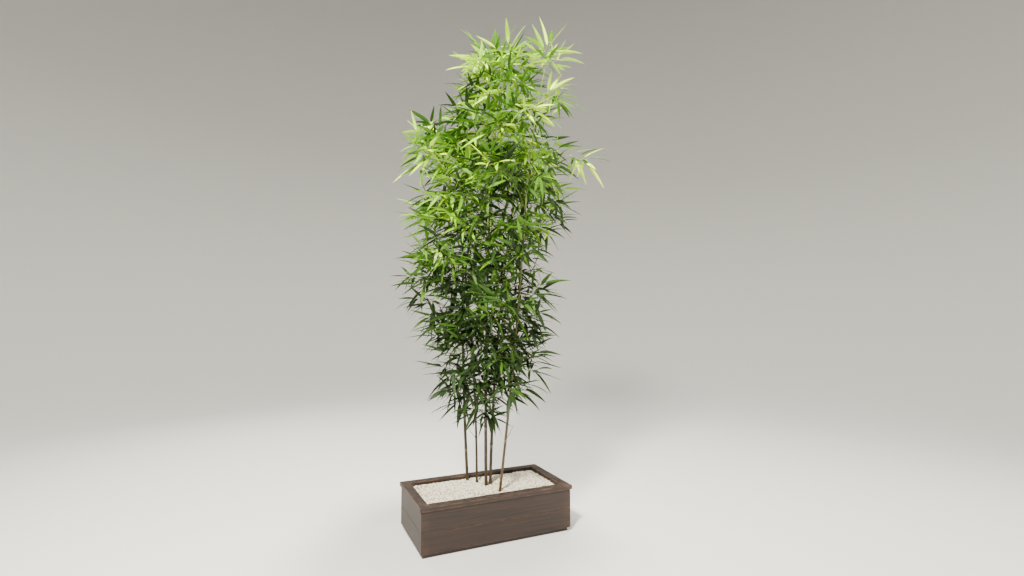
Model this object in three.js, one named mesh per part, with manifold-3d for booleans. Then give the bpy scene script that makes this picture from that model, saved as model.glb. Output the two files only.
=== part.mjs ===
// Potted bamboo: five culms from one root, in a timber trough topped with white gravel.
// Millimetres, +Z up. The origin is the middle of the trough's flat underside.
// +X runs along the trough to the right, +Y to its back.
import * as THREE from "three";
import { mergeVertices } from "three/addons/utils/BufferGeometryUtils.js";
import Module from "manifold-3d";

const wasm = await Module();
wasm.setup();

// Trough: outside length and width, height, wall and floor of its boards
const TROUGH_LENGTH = 880;
const TROUGH_WIDTH = 460;
const TROUGH_HEIGHT = 262;
const BOARD = 30;
const PLINTH_HEIGHT = 22;
const PLINTH_INSET = 14;
const CAP_HEIGHT = 24;
const CAP_WIDTH = 52;
const CAP_OVERHANG = 8;

// Soil under gravel: the level where the culms leave it, and how far it falls to the boards
const SOIL_TOP = 250;
const SOIL_FALL = 14;
const SOIL_SHOULDER = 60;
const SOIL_LEDGE = 10;

// Clearance between pieces that touch
const GAP = 0.4;

// The crown is broadest along a line turned this many degrees from the trough's length
const CROWN_TURN = -24.5;

// Culms. foot is the place in the trough, height the length above the soil, thick the diameter at
// the foot. lean and bow are along the crown's broad line and across it: how far the tip stands from
// the foot, and how far the middle bulges from the straight line between them. nodes counts the
// lengths between nodes, first is how much longer than the others the lowest one is, and bare is the
// height under which no branch grows. faces is the side that its branches stand towards, in degrees
// from the broad line, so that they don't grow into the other culms.
const CULMS = [
  {
    name: "back",
    foot: [-62, 132],
    height: 2230,
    thick: 18,
    lean: [-25, 190],
    bow: [-32, 10],
    nodes: 12,
    first: 0,
    bare: 500,
    faces: 120,
  },
  {
    name: "left",
    foot: [-24, 74],
    height: 1930,
    thick: 14,
    lean: [-170, -50],
    bow: [40, 25],
    nodes: 10,
    first: 0.4,
    bare: 440,
    faces: 180,
  },
  {
    name: "middle",
    foot: [4, -6],
    height: 2420,
    thick: 19,
    lean: [60, -60],
    bow: [-22, -10],
    nodes: 12,
    first: 0.8,
    bare: 330,
    faces: 190,
  },
  {
    name: "right",
    foot: [32, -2],
    height: 2160,
    thick: 18,
    lean: [210, 130],
    bow: [-42, -20],
    nodes: 11,
    first: 0.2,
    bare: 400,
    faces: 5,
  },
  {
    name: "front",
    foot: [40, -128],
    height: 2300,
    thick: 15,
    lean: [185, -150],
    bow: [20, 15],
    nodes: 12,
    first: 0.6,
    bare: 470,
    faces: -40,
  },
];
const TIP_DIAMETER = 5;
const TAPER_POWER = 1.35;
const NOD = 70;
const NOD_START = 0.72;
const CULM_SIDES = 7;
const NODE_SWELL = 1.1;
const NODE_SLIM = 0.96;
const NODE_NECK = 9;

// Crown outline: height above the soil, reach to one end of the broad line, reach to the other
const CROWN = [
  [350, 130, 110],
  [560, 310, 230],
  [820, 370, 480],
  [1160, 560, 410],
  [1600, 520, 530],
  [1870, 470, 640],
  [2060, 530, 420],
  [2230, 250, 430],
  [2480, 170, 330],
  [2700, 90, 210],
];
const CROWN_DEPTH = 0.95;

// Branches: one to a node, on alternate sides of the culm, each stem rising and then arching over
const BRANCH_RISE = 70;
const BRANCH_RISE_SHARE = 0.32;
const STEM_KNEE = 0.4;
const STEM_STEPS = 4;
const STEM_RADIUS = 3.2;
const STEM_TIP_RADIUS = 2.8;
const BRANCH_SHARE = 0.62;
const STEM_CLEARANCE = 16;
const STEM_LEAST = 110;
const STEM_MOST = 500;
const STEM_BARE = 0.3;
const STEM_LEAFY = 0.94;
const STEM_SHORT = 0.8;
const BRANCH_ASIDE = 20;
const BRANCH_ASIDE_SPREAD = 75;
const BRANCH_TURNS = 36;
const BRANCH_TURN = 10;
const BRANCH_SEED = 966;
const BRANCH_SEED_STEP = 71;
const TIP_STEM = 120;
const TIP_FROM = 0.98;

// Twigs: alternate along a stem, with a fan of leaves at each end
const TWIGS = 3;
const TWIG_JITTER = 0.6;
const TWIG_SHARE = 0.3;
const TWIG_SHARE_LEAST = 0.8;
const TWIG_SHARE_SPREAD = 0.5;
const TWIG_LEAST = 45;
const TWIG_MOST = 105;
const TWIG_RADIUS = 2.4;
const TWIG_TIP_RADIUS = 2.8;
const TWIG_SPREAD = 48;
const TWIG_SPREAD_JITTER = 24;
const TWIG_TILT = 120;
const TWIG_TILT_CENTRE = 0.4;
const TWIG_SIDES = 3;
const END_INSET = 2;
const MASS_SEED = 4003;
const MASS_SEED_STEP = 131;

// Leaves: long-pointed blades, larger than life, as they are fewer
const LEAF_LENGTH = 195;
const LEAF_LENGTH_SPREAD = 0.28;
const LEAF_WIDTH = 35;
const LEAF_WIDTH_SPREAD = 0.2;
const LEAF_THICKNESS = 5;
const LEAF_WIDEST = 0.27;
const LEAF_SUNK = 1.2;
const LEAF_PITCH = 11;
const LEAF_APART = 24;
const LEAF_FREE = 40;
const FAN = 72;
const FAN_FIRST = 0.35;
const FAN_NEXT = 0.22;
const FAN_JITTER = 24;
const FAN_LEAVES = 4;
const TIP_LEAVES = 4;
const LEAF_TRIES = 12;
const LEAF_LIFT = 22;
const LEAF_DROOP = 48;
const LEAF_ROLL = 80;
const OWN_SPACE_MARGIN = 2.5;
const LIMB_MARGIN = 4;
const LEAF_LIMB_MARGIN = 14;
const TIDY_EDGE = 0.15;

const UP = new THREE.Vector3(0, 0, 1);
const DEG = Math.PI / 180;
const BROAD = new THREE.Vector3(Math.cos(CROWN_TURN * DEG), Math.sin(CROWN_TURN * DEG), 0);
const ACROSS = new THREE.Vector3(-BROAD.y, BROAD.x, 0);

const timber = new THREE.MeshStandardMaterial({ color: 0x4a2a1e, roughness: 0.55, metalness: 0 });
const gravel = new THREE.MeshStandardMaterial({ color: 0xd8d4c6, roughness: 0.9, metalness: 0 });
const cane = new THREE.MeshStandardMaterial({ color: 0x57592a, roughness: 0.5, metalness: 0 });
const foliage = new THREE.MeshStandardMaterial({ color: 0x5f9a2b, roughness: 0.55, metalness: 0 });

// Random numbers between 0 and 1 that are the same on every run
function seededRandom(seed) {
  let state = seed % 4294967296;
  const next = () => {
    state = (state * 1664525 + 1013904223) % 4294967296;
    return state / 4294967296;
  };
  for (let warm = 0; warm < 4; warm++) next();
  return next;
}

// A closed solid through rings of points, each ring counter-clockwise as seen from the last one
function loftRings(rings) {
  const sides = rings[0].length;
  const positions = rings.flat().flatMap((point) => [point.x, point.y, point.z]);
  const index = [];
  for (let ring = 0; ring + 1 < rings.length; ring++) {
    for (let side = 0; side < sides; side++) {
      const a = ring * sides + side;
      const b = ring * sides + ((side + 1) % sides);
      index.push(a, b, b + sides, a, b + sides, a + sides);
    }
  }
  const last = (rings.length - 1) * sides;
  for (let side = 1; side + 1 < sides; side++) {
    index.push(0, side + 1, side);
    index.push(last, last + side, last + side + 1);
  }
  const geometry = new THREE.BufferGeometry();
  geometry.setAttribute("position", new THREE.Float32BufferAttribute(positions, 3));
  geometry.setIndex(index);
  return geometry;
}

// A closed tapering limb along a line of points, with one radius to a point
function limb(points, radii, sides) {
  const rings = [];
  let normal = null;
  points.forEach((point, step) => {
    const before = points[Math.max(step - 1, 0)];
    const after = points[Math.min(step + 1, points.length - 1)];
    const along = after.clone().sub(before).normalize();
    const start = normal ?? new THREE.Vector3(1, 0, 0).addScaledVector(UP, 0.01);
    normal = start.clone().addScaledVector(along, -start.dot(along)).normalize();
    const binormal = along.clone().cross(normal);
    const ring = [];
    for (let side = 0; side < sides; side++) {
      const angle = (side / sides) * 2 * Math.PI;
      const out = normal.clone().multiplyScalar(Math.cos(angle)).addScaledVector(binormal, Math.sin(angle));
      ring.push(point.clone().addScaledVector(out, radii[step]));
    }
    rings.push(ring);
  });
  return loftRings(rings);
}

// A leaf of eight faces: root, tip, two edges and a ridge on either face
function leafBlade(root, direction, side, length, width) {
  const over = side.clone().cross(direction).normalize();
  const widest = root.clone().addScaledVector(direction, LEAF_WIDEST * length);
  const points = [
    root,
    widest.clone().addScaledVector(side, width / 2),
    widest.clone().addScaledVector(over, LEAF_THICKNESS / 2),
    widest.clone().addScaledVector(side, -width / 2),
    widest.clone().addScaledVector(over, -LEAF_THICKNESS / 2),
    root.clone().addScaledVector(direction, length),
  ];
  const geometry = new THREE.BufferGeometry();
  geometry.setAttribute(
    "position",
    new THREE.Float32BufferAttribute(points.flatMap((point) => [point.x, point.y, point.z]), 3),
  );
  const index = [];
  for (let edge = 0; edge < 4; edge++) {
    const a = 1 + edge;
    const b = 1 + ((edge + 1) % 4);
    index.push(0, a, b, 5, b, a);
  }
  geometry.setIndex(index);
  return geometry;
}

// Solids for joining and cutting, and back
function toSolid(geometry) {
  const merged = mergeVertices(geometry, 1e-4);
  const mesh = new wasm.Mesh({
    numProp: 3,
    vertProperties: new Float32Array(merged.attributes.position.array),
    triVerts: new Uint32Array(merged.index.array),
  });
  return new wasm.Manifold(mesh);
}

function toGeometry(solid) {
  const mesh = solid.getMesh();
  const geometry = new THREE.BufferGeometry();
  geometry.setAttribute("position", new THREE.BufferAttribute(new Float32Array(mesh.vertProperties), 3));
  geometry.setIndex(new THREE.BufferAttribute(new Uint32Array(mesh.triVerts), 1));
  return geometry;
}

// The largest body of a solid: loose scraps and sealed hollows are dropped
function mainBody(solid) {
  const bodies = solid.decompose();
  return bodies.reduce((best, body) => (body.volume() > best.volume() ? body : best));
}

// Distance between two straight pieces of line, each given by its two ends
function segmentDistance(a, b, c, d) {
  const ab = b.clone().sub(a);
  const cd = d.clone().sub(c);
  const ac = a.clone().sub(c);
  const abab = ab.dot(ab);
  const abcd = ab.dot(cd);
  const cdcd = cd.dot(cd);
  const abac = ab.dot(ac);
  const cdac = cd.dot(ac);
  const spread = abab * cdcd - abcd * abcd;
  let s = spread > 1e-6 ? THREE.MathUtils.clamp((abcd * cdac - cdcd * abac) / spread, 0, 1) : 0;
  const t = THREE.MathUtils.clamp((abcd * s + cdac) / cdcd, 0, 1);
  s = THREE.MathUtils.clamp((abcd * t - abac) / abab, 0, 1);
  return a.clone().addScaledVector(ab, s).distanceTo(c.clone().addScaledVector(cd, t));
}

function lineDistance(from, to, line) {
  let least = Infinity;
  for (let step = 0; step + 1 < line.length; step++) {
    least = Math.min(least, segmentDistance(from, to, line[step], line[step + 1]));
  }
  return least;
}

// The place on a culm's middle line, s from 0 at the soil to 1 at the tip
function culmPoint(culm, s) {
  const bulge = 4 * s * (1 - s);
  const nod = NOD * Math.max(0, (s - NOD_START) / (1 - NOD_START)) ** 2;
  const size = Math.hypot(...culm.lean);
  const broad = culm.lean[0] * s + culm.bow[0] * bulge + (nod * culm.lean[0]) / size;
  const across = culm.lean[1] * s + culm.bow[1] * bulge + (nod * culm.lean[1]) / size;
  return new THREE.Vector3(culm.foot[0], culm.foot[1], SOIL_TOP + GAP + culm.height * s)
    .addScaledVector(BROAD, broad)
    .addScaledVector(ACROSS, across);
}

function culmRadius(culm, s) {
  return (TIP_DIAMETER + (culm.thick - TIP_DIAMETER) * (1 - s ** TAPER_POWER)) / 2;
}

// The share of a culm's height at which a node stands
function nodeShare(culm, node) {
  return (node + culm.first) / (culm.nodes + culm.first);
}

// A culm is flat at the soil and has a raised ring at each node with a slim neck over it
function culmLimb(culm, extra) {
  const points = [];
  const radii = [];
  const add = (s, swell) => {
    points.push(culmPoint(culm, s));
    radii.push(culmRadius(culm, s) * swell + extra);
  };
  add(0, 1);
  for (let node = 1; node < culm.nodes; node++) {
    add(nodeShare(culm, node), NODE_SWELL);
    add(nodeShare(culm, node) + NODE_NECK / culm.height, NODE_SLIM);
  }
  add(1, 1);
  return limb(points, radii, CULM_SIDES);
}

function culmLine(culm) {
  const points = [];
  for (let step = 0; step <= culm.nodes * 2; step++) points.push(culmPoint(culm, step / (culm.nodes * 2)));
  return points;
}

// How far the crown stands from the clump's middle at this height, in a direction from the broad line
function crownReach(height, angle) {
  let row = 0;
  while (row + 2 < CROWN.length && CROWN[row + 1][0] < height) row++;
  const share = THREE.MathUtils.clamp((height - CROWN[row][0]) / (CROWN[row + 1][0] - CROWN[row][0]), 0, 1);
  const left = THREE.MathUtils.lerp(CROWN[row][1], CROWN[row + 1][1], share);
  const right = THREE.MathUtils.lerp(CROWN[row][2], CROWN[row + 1][2], share);
  const broad = Math.cos(angle) < 0 ? left : right;
  const deep = (CROWN_DEPTH * (left + right)) / 2;
  return 1 / Math.hypot(Math.cos(angle) / broad, Math.sin(angle) / deep);
}

// A stem follows a curve of three points: its start, its knee and its tip
function stemPoint(stem, t) {
  const rising = stem.start.clone().lerp(stem.knee, t);
  return rising.lerp(stem.knee.clone().lerp(stem.tip, t), t);
}

function stemAlong(stem, t) {
  const rising = stem.knee.clone().sub(stem.start).multiplyScalar(1 - t);
  return rising.addScaledVector(stem.tip.clone().sub(stem.knee), t).normalize();
}

function stemLine(stem) {
  const points = [];
  for (let step = 0; step <= STEM_STEPS; step++) points.push(stemPoint(stem, step / STEM_STEPS));
  return points;
}

// The place on a stem's straight pieces, t from 0 at its start to 1 at its tip
function linePoint(line, t) {
  const piece = Math.min(Math.floor(t * STEM_STEPS), STEM_STEPS - 1);
  return line[piece].clone().lerp(line[piece + 1], t * STEM_STEPS - piece);
}

// A branch's stem: up and out from its culm, over an arch, towards the crown's outline
function branchStem(culm, s, angle) {
  const start = culmPoint(culm, s);
  const out = BROAD.clone().multiplyScalar(Math.cos(angle)).addScaledVector(ACROSS, Math.sin(angle));
  const height = culm.height * s + BRANCH_RISE;
  const edge = crownReach(height, angle) - STEM_SHORT * LEAF_LENGTH;
  const middle = new THREE.Vector3(0, 0, start.z);
  const length = THREE.MathUtils.clamp(edge - start.clone().sub(middle).dot(out), STEM_LEAST, STEM_MOST);
  const rise = BRANCH_RISE + BRANCH_RISE_SHARE * length;
  const knee = start.clone().addScaledVector(out, STEM_KNEE * length).addScaledVector(UP, rise);
  const tip = start.clone().addScaledVector(out, length).addScaledVector(UP, rise);
  return { start, knee, tip };
}

// Branch lines of every culm. A branch turns about its culm until it clears the other limbs.
const culmLines = CULMS.map((culm) => culmLine(culm));
const masses = [];

function clearOfLimbs(line, culm) {
  return CULMS.every((other, place) => {
    if (other === culm) return true;
    const room = culmRadius(other, 0) + STEM_RADIUS + LIMB_MARGIN;
    return line.slice(1).every((point, step) => lineDistance(line[step], point, culmLines[place]) > room);
  });
}

function clearOfStems(line) {
  return masses.every((mass) =>
    line.slice(1).every((point, step) => lineDistance(line[step], point, mass.line) > STEM_CLEARANCE),
  );
}

CULMS.forEach((culm, place) => {
  const random = seededRandom(BRANCH_SEED + BRANCH_SEED_STEP * place);
  for (let node = 1; node < culm.nodes; node++) {
    const s = nodeShare(culm, node) + NODE_NECK / culm.height;
    const facing = culm.faces + (node % 2 ? 1 : -1) * (BRANCH_ASIDE + BRANCH_ASIDE_SPREAD * random());
    if (culm.height * s < culm.bare) continue;
    for (let turn = 0; turn < BRANCH_TURNS; turn++) {
      const aside = (turn % 2 ? 1 : -1) * Math.ceil(turn / 2) * BRANCH_TURN;
      const stem = branchStem(culm, s, (facing + aside) * DEG);
      const line = stemLine(stem);
      if (!clearOfLimbs(line, culm) || !clearOfStems(line)) continue;
      const radius = BRANCH_SHARE * culmRadius(culm, s);
      masses.push({ name: `foliage_${culm.name}_${node}`, stem, line, culm, radius, taken: [] });
      break;
    }
  }
  const end = culmPoint(culm, 1);
  const along = end.clone().sub(culmPoint(culm, TIP_FROM)).normalize();
  const start = end.clone().addScaledVector(along, GAP);
  const tip = start.clone().addScaledVector(along, TIP_STEM);
  const stem = { start, knee: start.clone().lerp(tip, 0.5), tip };
  const name = `foliage_${culm.name}_tip`;
  masses.push({ name, stem, line: stemLine(stem), culm: null, radius: TIP_DIAMETER / 2, taken: [] });
});

// A point belongs to the mass whose stem is nearest
function inOwnSpace(point, mass) {
  const own = lineDistance(point, point.clone().addScaledVector(UP, 0.01), mass.line);
  return masses.every((other) => {
    if (other === mass) return true;
    return lineDistance(point, point.clone().addScaledVector(UP, 0.01), other.line) > own + OWN_SPACE_MARGIN;
  });
}

function clearOfCulms(from, to, margin) {
  return CULMS.every((culm, place) => {
    const room = culmRadius(culm, 0) + margin;
    return lineDistance(from, to, culmLines[place]) > room;
  });
}

// One leaf of a fan, or null where none of its tries keeps to the mass's own space
function fanLeaf(mass, random, knot, forward, yaw) {
  const flat = forward.clone().cross(UP).normalize();
  const lift = flat.clone().cross(forward).normalize();
  for (let attempt = 0; attempt < LEAF_TRIES; attempt++) {
    const turn = (yaw + FAN_JITTER * (random() - 0.5)) * DEG;
    const pitch = THREE.MathUtils.lerp(LEAF_LIFT, -LEAF_DROOP, random()) * DEG;
    const direction = forward
      .clone()
      .multiplyScalar(Math.cos(turn) * Math.cos(pitch))
      .addScaledVector(flat, Math.sin(turn) * Math.cos(pitch))
      .addScaledVector(lift, Math.sin(pitch))
      .normalize();
    const length = LEAF_LENGTH * (1 + LEAF_LENGTH_SPREAD * (random() - 0.5));
    const roll = (random() - 0.5) * LEAF_ROLL * DEG;
    const level = direction.clone().cross(UP).normalize();
    const side = level
      .clone()
      .multiplyScalar(Math.cos(roll))
      .addScaledVector(level.clone().cross(direction), Math.sin(roll));
    const root = knot.clone().addScaledVector(direction, -LEAF_SUNK);
    const widest = root.clone().addScaledVector(direction, LEAF_WIDEST * length);
    const tip = root.clone().addScaledVector(direction, length);
    const width = LEAF_WIDTH * (1 + LEAF_WIDTH_SPREAD * (random() - 0.5));
    const samples = [
      widest,
      widest.clone().addScaledVector(side, width / 2),
      widest.clone().addScaledVector(side, -width / 2),
      widest.clone().lerp(tip, 0.5),
      tip,
    ];
    const free = root.clone().addScaledVector(direction, LEAF_FREE);
    if (!samples.every((point) => inOwnSpace(point, mass))) continue;
    if (!clearOfCulms(knot, tip, LEAF_LIMB_MARGIN)) continue;
    if (!mass.taken.every((part) => segmentDistance(free, tip, ...part) > LEAF_APART)) continue;
    mass.taken.push([free, tip]);
    return leafBlade(root, direction, side, length, width);
  }
  return null;
}

function leafFan(mass, random, end, forward, count) {
  const leaves = [];
  for (let leaf = 0; leaf < count; leaf++) {
    const yaw = leaf === 0 ? 0 : FAN * (leaf % 2 ? 1 : -1) * (FAN_FIRST + FAN_NEXT * leaf);
    const knot = end.clone().addScaledVector(forward, -LEAF_PITCH * leaf);
    const blade = fanLeaf(mass, random, knot, forward, yaw);
    if (blade) leaves.push(blade);
  }
  return leaves;
}

// A mass: its stem, twigs on alternate sides, and a fan of leaves at every end
function growMass(mass, place) {
  const random = seededRandom(MASS_SEED + MASS_SEED_STEP * place);
  const line = mass.line;
  const radius = Math.min(STEM_RADIUS, mass.radius);
  const radii = line.map((_, step) => THREE.MathUtils.lerp(radius, STEM_TIP_RADIUS, step / STEM_STEPS));
  const length = line.slice(1).reduce((sum, point, step) => sum + point.distanceTo(line[step]), 0);
  const shapes = [limb(line, radii, TWIG_SIDES)];
  for (let step = 0; step + 1 < line.length; step++) mass.taken.push([line[step], line[step + 1]]);
  let hand = random() < 0.5 ? 1 : -1;
  for (let twig = 0; twig < TWIGS; twig++) {
    const t = STEM_BARE + ((STEM_LEAFY - STEM_BARE) * (twig + TWIG_JITTER * random())) / TWIGS;
    const start = linePoint(line, t);
    const along = stemAlong(mass.stem, t);
    const flat = along.clone().cross(UP).normalize();
    const lift = flat.clone().cross(along).normalize();
    hand = -hand;
    const spread = (TWIG_SPREAD + TWIG_SPREAD_JITTER * (random() - 0.5)) * DEG;
    const tilt = (random() - TWIG_TILT_CENTRE) * TWIG_TILT * DEG;
    const forward = along
      .clone()
      .multiplyScalar(Math.cos(spread))
      .addScaledVector(flat, hand * Math.sin(spread) * Math.cos(tilt))
      .addScaledVector(lift, Math.sin(spread) * Math.sin(tilt))
      .normalize();
    const share = TWIG_SHARE * (TWIG_SHARE_LEAST + TWIG_SHARE_SPREAD * random());
    const reach = THREE.MathUtils.clamp(share * length, TWIG_LEAST, TWIG_MOST);
    const end = start.clone().addScaledVector(forward, reach);
    if (!inOwnSpace(end, mass) || !clearOfCulms(start, end, LIMB_MARGIN)) continue;
    const leaves = leafFan(mass, random, end, forward, FAN_LEAVES);
    if (leaves.length === 0) continue;
    mass.taken.push([start, end]);
    const tail = end.clone().addScaledVector(forward, END_INSET);
    shapes.push(limb([start, tail], [TWIG_RADIUS, TWIG_TIP_RADIUS], TWIG_SIDES), ...leaves);
  }
  const along = stemAlong(mass.stem, 1);
  const end = mass.stem.tip.clone().addScaledVector(along, -END_INSET);
  shapes.push(...leafFan(mass, random, end, along, TIP_LEAVES));
  let solid = toSolid(shapes[0]);
  for (const shape of shapes.slice(1)) solid = solid.add(toSolid(shape));
  if (mass.culm) solid = solid.subtract(toSolid(culmLimb(mass.culm, GAP)));
  return toGeometry(mainBody(solid).simplify(TIDY_EDGE));
}

// The trough: plinth, walls, cap rail and floor in one profile carried round the four sides
function rectangle(halfLength, halfWidth, z) {
  return [
    new THREE.Vector3(-halfLength, -halfWidth, z),
    new THREE.Vector3(halfLength, -halfWidth, z),
    new THREE.Vector3(halfLength, halfWidth, z),
    new THREE.Vector3(-halfLength, halfWidth, z),
  ];
}

function troughBody() {
  const under = TROUGH_HEIGHT - CAP_HEIGHT;
  const profile = [
    [-PLINTH_INSET, 0],
    [-PLINTH_INSET, PLINTH_HEIGHT],
    [0, PLINTH_HEIGHT],
    [0, under],
    [CAP_OVERHANG, under],
    [CAP_OVERHANG, TROUGH_HEIGHT],
    [CAP_OVERHANG - CAP_WIDTH, TROUGH_HEIGHT],
    [CAP_OVERHANG - CAP_WIDTH, under],
    [-BOARD, under],
    [-BOARD, BOARD],
  ];
  return loftRings(profile.map(([out, z]) => rectangle(TROUGH_LENGTH / 2 + out, TROUGH_WIDTH / 2 + out, z)));
}

function soilBody() {
  const inner = BOARD + GAP;
  const rim = CAP_WIDTH - CAP_OVERHANG + GAP;
  const under = TROUGH_HEIGHT - CAP_HEIGHT - GAP;
  const profile = [
    [-inner, BOARD + GAP],
    [-inner, under - SOIL_LEDGE],
    [-rim, under - SOIL_LEDGE],
    [-rim, SOIL_TOP - SOIL_FALL],
    [-rim - SOIL_SHOULDER, SOIL_TOP],
  ];
  return loftRings(profile.map(([out, z]) => rectangle(TROUGH_LENGTH / 2 + out, TROUGH_WIDTH / 2 + out, z)));
}

const plant = new THREE.Group();

function addPiece(name, geometry, material) {
  const mesh = new THREE.Mesh(geometry, material);
  mesh.name = name;
  plant.add(mesh);
}

addPiece("trough", troughBody(), timber);
addPiece("gravel_bed", soilBody(), gravel);
for (const culm of CULMS) addPiece(`culm_${culm.name}`, culmLimb(culm, 0), cane);
masses.forEach((mass, place) => addPiece(mass.name, growMass(mass, place), foliage));

export default plant;
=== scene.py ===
import math
from functools import partial

import bmesh
import bpy
import numpy as np
from numpy.linalg import norm
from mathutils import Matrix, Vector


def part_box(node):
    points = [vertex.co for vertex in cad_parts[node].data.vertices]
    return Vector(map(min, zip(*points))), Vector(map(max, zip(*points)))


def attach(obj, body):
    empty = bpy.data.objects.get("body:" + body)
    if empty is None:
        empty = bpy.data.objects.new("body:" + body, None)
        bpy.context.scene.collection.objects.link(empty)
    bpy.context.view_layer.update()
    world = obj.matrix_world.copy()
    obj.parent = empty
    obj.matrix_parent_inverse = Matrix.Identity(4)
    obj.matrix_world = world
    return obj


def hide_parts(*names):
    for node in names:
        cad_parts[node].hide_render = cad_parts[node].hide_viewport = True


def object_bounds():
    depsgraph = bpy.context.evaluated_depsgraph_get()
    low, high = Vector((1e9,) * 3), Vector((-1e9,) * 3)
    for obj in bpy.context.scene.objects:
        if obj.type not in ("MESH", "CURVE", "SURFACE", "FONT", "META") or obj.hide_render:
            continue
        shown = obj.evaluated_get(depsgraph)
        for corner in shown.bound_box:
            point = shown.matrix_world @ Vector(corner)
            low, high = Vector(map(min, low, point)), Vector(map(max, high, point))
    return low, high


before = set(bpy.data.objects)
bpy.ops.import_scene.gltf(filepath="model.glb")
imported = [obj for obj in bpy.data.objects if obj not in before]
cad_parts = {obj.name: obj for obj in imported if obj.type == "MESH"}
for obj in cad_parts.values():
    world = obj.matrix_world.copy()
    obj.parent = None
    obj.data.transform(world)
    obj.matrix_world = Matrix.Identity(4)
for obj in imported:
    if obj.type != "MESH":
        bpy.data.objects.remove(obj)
cad_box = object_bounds()

# Walls of the trough
# Two softwood boards high on each side, planed smooth, stained dark red-brown and mitred at the
# corners. Their long edges are eased with sandpaper, and handling has rubbed the stain thin there.
MM = 0.001
UP = np.array([0.0, 0.0, 1.0])
CAP_OVERHANG = 8
CAP_HEIGHT = 24
BOARD = 30
PLINTH_HEIGHT = 22
MITRE_GAP = 0.25
BOARD_JOINT = 0.4
EASED_EDGE = 2.5
EASED_STEPS = 3
EDGE_SUPPORT = 4
BOARD_STEP = 55
BOARD_BOW = 0.6
MITRE_WEAR = 0.7
GRAIN_APART = 3.7
WALL_SEEDS = {"lower": 1, "upper": 6}
SIDES = {"front": -90, "right": 0, "back": 90, "left": 180}

trough_high = np.array(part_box("trough")[1]) / MM
HALF_LENGTH = trough_high[0] - CAP_OVERHANG
HALF_WIDTH = trough_high[1] - CAP_OVERHANG
TROUGH_HEIGHT = trough_high[2]
UNDER_CAP = TROUGH_HEIGHT - CAP_HEIGHT


def paint(red, green, blue):
    """A colour as a screen shows it, 0 to 255, in the linear values that shaders take."""
    share = np.array([red, green, blue]) / 255
    return (*np.where(share > 0.04045, ((share + 0.055) / 1.055) ** 2.4, share / 12.92), 1)


def new_object(name, data):
    made = bpy.data.objects.new(name, data)
    bpy.context.scene.collection.objects.link(made)
    return made


def add_piece(name, points, faces, material, slot, crease=35, **values):
    """A mesh on the root body. values are numbers or vectors that its material reads by name."""
    mesh = bpy.data.meshes.new(name)
    mesh.from_pydata((np.asarray(points) * MM).tolist(), [], [list(face) for face in faces])
    for label, numbers in values.items():
        numbers = np.asarray(numbers, np.float32)
        kind, part = ("FLOAT_VECTOR", "vector") if numbers.ndim == 2 else ("FLOAT", "value")
        mesh.attributes.new(label, kind, "POINT").data.foreach_set(part, numbers.ravel())
    mesh.shade_smooth()
    mesh.set_sharp_from_angle(angle=math.radians(crease))
    mesh.materials.append(material)
    piece = new_object(name, mesh)
    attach(piece, "root")
    return piece


def feed(node, inputs):
    """Gives each input its number or colour, or links it to the output that it comes from."""
    for socket, value in inputs.items():
        if isinstance(value, bpy.types.NodeSocket):
            node.id_data.links.new(value, node.inputs[socket])
        else:
            node.inputs[socket].default_value = value


def add_node(kind, inputs, tree=None, **settings):
    """A shader node, in the tree of the outputs that feed it unless one is given."""
    tree = tree or next(value.id_data for value in inputs.values() if isinstance(value, bpy.types.NodeSocket))
    node = tree.nodes.new("ShaderNode" + kind)
    for setting, value in settings.items():
        setattr(node, setting, value)
    feed(node, inputs)
    return node


def calculate(how, first, second, clamp=False):
    return add_node("Math", {0: first, 1: second}, operation=how, use_clamp=clamp).outputs[0]


times = partial(calculate, "MULTIPLY")
plus = partial(calculate, "ADD")


def ramp(value, low, high):
    """A value's share of the way from low to high, from 0 to 1."""
    return add_node("MapRange", {"Value": value, "From Min": low, "From Max": high}).outputs["Result"]


def mix(share, first, second):
    """Two colours mixed, with this share of the second."""
    return add_node("Mix", {0: share, 6: first, 7: second}, data_type="RGBA").outputs[2]


def read(tree, label, part="Fac"):
    """What add_piece stored on the mesh under this label."""
    return add_node("Attribute", {}, tree, attribute_name=label).outputs[part]


def noise(tree, scale, detail, place=None, **more):
    """Cloudy noise, over the piece's own place unless another is given."""
    place = place or add_node("TexCoord", {}, tree).outputs["Object"]
    return add_node("TexNoise", {"Vector": place, "Scale": scale, "Detail": detail, **more}).outputs["Fac"]


def relief(height, depth):
    """The normal of fine relief, depth in millimetres, where height goes from 0 to 1."""
    return add_node("Bump", {"Height": height, "Distance": depth * MM}).outputs["Normal"]


def new_group(name, inputs, outputs):
    """A node group, the outputs of its input node by name, and its output node."""
    group = bpy.data.node_groups.new(name, "ShaderNodeTree")
    for label, start in inputs.items():
        socket = group.interface.new_socket(name=label, in_out="INPUT", socket_type="NodeSocketFloat")
        socket.default_value = start
    for label in outputs:
        group.interface.new_socket(name=label, in_out="OUTPUT", socket_type="NodeSocketFloat")
    return group, group.nodes.new("NodeGroupInput").outputs, group.nodes.new("NodeGroupOutput")


def effect(tree, group, **values):
    """A node group's outputs in a material, with its own values."""
    return add_node("Group", values, tree, node_tree=group).outputs


def new_material(name, base, roughness):
    material = bpy.data.materials.new(name)
    material.use_nodes = True
    shader = material.node_tree.nodes["Principled BSDF"]
    feed(shader, {"Base Color": base, "Roughness": roughness})
    return material, material.node_tree, shader


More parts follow.
